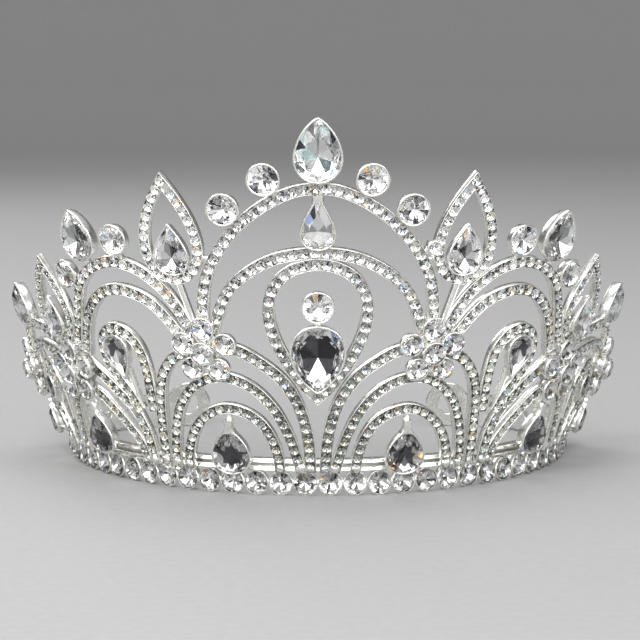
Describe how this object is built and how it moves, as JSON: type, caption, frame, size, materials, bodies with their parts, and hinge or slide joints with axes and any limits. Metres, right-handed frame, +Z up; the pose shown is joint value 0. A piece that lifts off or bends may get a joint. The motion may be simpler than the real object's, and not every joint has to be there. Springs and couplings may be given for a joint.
{
  "type": "bridal crown",
  "caption": "Open-backed bridal crown: a band of large round crystals under leaning pierced arches, loops and flowers set with drop and round crystals.",
  "frame": {"origin": "centre of the round front of the band, on the surface the crown rests on", "axes": "+Z up, +X to the right of someone facing the crown's front, and the front towards -Y"},
  "size_m": [0.1634, 0.1274, 0.0955],
  "materials": {
    "silver": "bright silver plate",
    "crystal": "clear cut glass with a mirror back"
  },
  "bodies": {
    "root": {"frame": "silver", "band_stones": "crystal", "top_drop": "crystal", "hanging_drop": "crystal", "centre_round": "crystal", "centre_drop": "crystal", "arch_bead": "crystal", "arch_round_upper_right": "crystal", "arch_round_upper_left": "crystal", "arch_round_lower_right": "crystal", "arch_round_lower_left": "crystal", "leaf_drop_1_right": "crystal", "leaf_drop_1_left": "crystal", "lower_drop_1_right": "crystal", "lower_drop_1_left": "crystal", "panel_round_front_right": "crystal", "panel_round_front_left": "crystal", "panel_drop_2_right": "crystal", "panel_drop_2_left": "crystal", "panel_round_side_right": "crystal", "panel_round_side_left": "crystal", "loop_drop_2_right": "crystal", "loop_drop_2_left": "crystal", "leaf_drop_2_right": "crystal", "leaf_drop_2_left": "crystal", "lower_drop_2_right": "crystal", "lower_drop_2_left": "crystal", "panel_drop_3_right": "crystal", "panel_drop_3_left": "crystal", "loop_drop_3_right": "crystal", "loop_drop_3_left": "crystal", "lower_drop_3_right": "crystal", "lower_drop_3_left": "crystal", "flower_stones_1_right": "crystal", "flower_stones_1_left": "crystal", "flower_stones_2_right": "crystal", "flower_stones_2_left": "crystal", "flower_stones_3_right": "crystal", "flower_stones_3_left": "crystal"}
  },
  "joints": []
}
